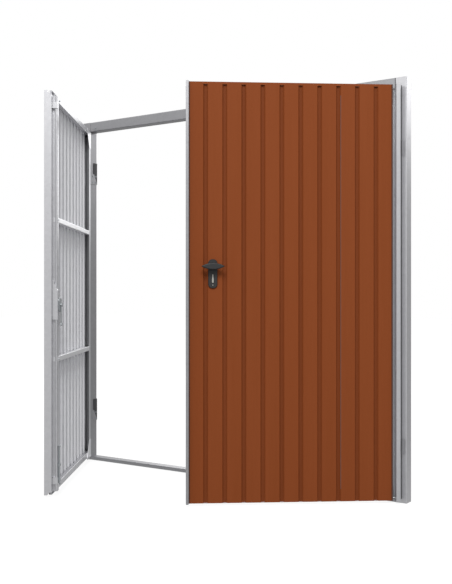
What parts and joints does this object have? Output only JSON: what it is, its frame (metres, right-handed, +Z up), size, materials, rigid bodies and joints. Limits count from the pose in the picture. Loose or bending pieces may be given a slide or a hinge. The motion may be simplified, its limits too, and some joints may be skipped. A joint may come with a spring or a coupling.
{
  "type": "side-hinged garage door",
  "caption": "Double side-hinged garage door: steel frame, two outward-opening leaves clad in vertically ribbed coated steel sheet, lock lever, rods, drop bolt and turning handle.",
  "frame": {"origin": "middle of the threshold's underside, on the frame's centre plane", "axes": "+X to the right as seen from outside, +Y inward through the opening, +Z up"},
  "size_m": [2.15, 0.9695, 2.1],
  "materials": {
    "galvanised_steel": "hot-dip galvanised, matt, with a faint spangle",
    "coated_steel_sheet": "brown coil-coated sheet, satin",
    "black_plastic": "moulded black plastic, satin",
    "nickel_plated_brass": "nickel-plated, satin",
    "zinc_plated_steel": "bright zinc plating"
  },
  "bodies": {
    "frame": {"jamb_left": "galvanised_steel", "jamb_right": "galvanised_steel", "header": "galvanised_steel", "threshold": "galvanised_steel", "jamb_hinge_left_lower": "galvanised_steel", "jamb_hinge_left_upper": "galvanised_steel", "jamb_hinge_right_lower": "galvanised_steel", "jamb_hinge_right_upper": "galvanised_steel"},
    "leaf_left": {"left_hinge_stile": "galvanised_steel", "left_meeting_stile": "galvanised_steel", "left_sheet": "coated_steel_sheet", "left_top_rail": "galvanised_steel", "left_bottom_rail": "galvanised_steel", "left_mid_rail_lower": "galvanised_steel", "left_mid_rail_upper": "galvanised_steel", "left_gusset_top": "galvanised_steel", "left_gusset_bottom": "galvanised_steel", "left_hinge_half_lower": "galvanised_steel", "left_hinge_half_upper": "galvanised_steel", "left_rod_guide_top": "galvanised_steel", "left_rod_guide_bottom": "galvanised_steel", "left_lock_housing": "galvanised_steel", "left_lock_plate": "galvanised_steel", "left_lock_case": "zinc_plated_steel", "left_bolt_guide": "zinc_plated_steel"},
    "leaf_right": {"right_hinge_stile": "galvanised_steel", "right_meeting_stile": "galvanised_steel", "right_sheet": "coated_steel_sheet", "right_top_rail": "galvanised_steel", "right_bottom_rail": "galvanised_steel", "right_mid_rail_lower": "galvanised_steel", "right_mid_rail_upper": "galvanised_steel", "right_gusset_top": "galvanised_steel", "right_gusset_bottom": "galvanised_steel", "right_hinge_half_lower": "galvanised_steel", "right_hinge_half_upper": "galvanised_steel", "right_handle_plate": "black_plastic", "right_lock_cylinder": "nickel_plated_brass", "right_inner_lock_case": "black_plastic"},
    "lever": {"left_lever": "zinc_plated_steel"},
    "rod_top": {"left_rod_top": "galvanised_steel"},
    "rod_bottom": {"left_rod_bottom": "galvanised_steel"},
    "drop_bolt": {"left_drop_bolt": "zinc_plated_steel"},
    "handle": {"right_grip": "black_plastic", "right_inner_knob": "black_plastic"}
  },
  "joints": [
    {"name": "left_leaf_hinge", "type": "hinge", "parent": "frame", "child": "leaf_left", "pos_m": [-1.041, -0.0605, 1.05], "axis": [0, 0, -1], "range_deg": [-57.2, 52.8]},
    {"name": "right_leaf_hinge", "type": "hinge", "parent": "frame", "child": "leaf_right", "pos_m": [1.041, -0.0605, 1.05], "axis": [0, 0, 1], "range_deg": [-37.6, 72.4]},
    {"name": "handle_turn", "type": "hinge", "parent": "leaf_right", "child": "handle", "pos_m": [0.31956, -0.61104, 1.163], "axis": [0.6101, -0.7923, 0], "range_deg": [0, 90]},
    {"name": "lever_turn", "type": "hinge", "parent": "leaf_left", "child": "lever", "pos_m": [-0.47381, -0.85015, 0.975], "axis": [0.8406, 0.5417, 0], "range_deg": [0, 90]},
    {"name": "top_rod_slide", "type": "slide", "parent": "leaf_left", "child": "rod_top", "axis": [0, 0, 1], "range_m": [0, 0.022]},
    {"name": "bottom_rod_slide", "type": "slide", "parent": "leaf_left", "child": "rod_bottom", "axis": [0, 0, -1], "range_m": [0, 0.022]},
    {"name": "drop_bolt_slide", "type": "slide", "parent": "leaf_left", "child": "drop_bolt", "axis": [0, 0, -1], "range_m": [0, 0.06]}
  ],
  "couplings": [
    {"joint": "top_rod_slide", "follows": "lever_turn", "m_per_rad": 0.014},
    {"joint": "bottom_rod_slide", "follows": "lever_turn", "m_per_rad": 0.014}
  ]
}
